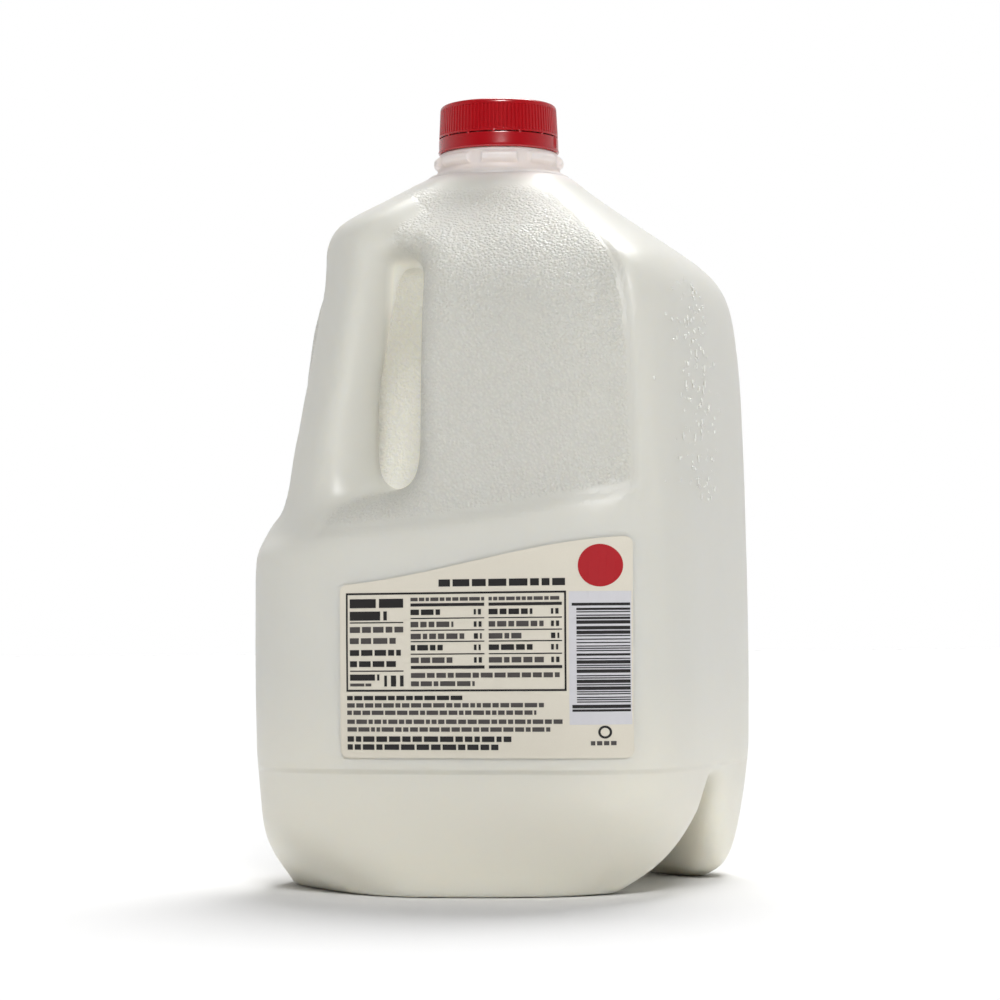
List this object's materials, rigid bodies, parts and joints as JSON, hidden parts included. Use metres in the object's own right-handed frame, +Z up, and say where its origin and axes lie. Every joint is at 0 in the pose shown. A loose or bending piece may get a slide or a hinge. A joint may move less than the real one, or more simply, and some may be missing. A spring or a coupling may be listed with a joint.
{
  "type": "plastic milk jug",
  "caption": "Square translucent one-gallon plastic milk jug with a moulded corner handle, a screw cap with a tamper band and a paper label, shut and full.",
  "frame": {"origin": "centre of the base, on the axis of the neck and cap, on the level it stands on", "axes": "+Z up along the neck; +X towards the pouring corner, -X towards the handle; the jug is mirrored over Y = 0"},
  "size_m": [0.1769, 0.1831, 0.258],
  "materials": {
    "jug": "blow-moulded HDPE, translucent white over milk, soft sheen",
    "cap": "injection-moulded red plastic, finely ribbed",
    "tamper_band": "injection-moulded red plastic, plain",
    "label": "cream coated paper label"
  },
  "bodies": {
    "root": {"jug": "jug", "cap": "cap", "tamper_band": "tamper_band", "label": "label"}
  },
  "joints": []
}
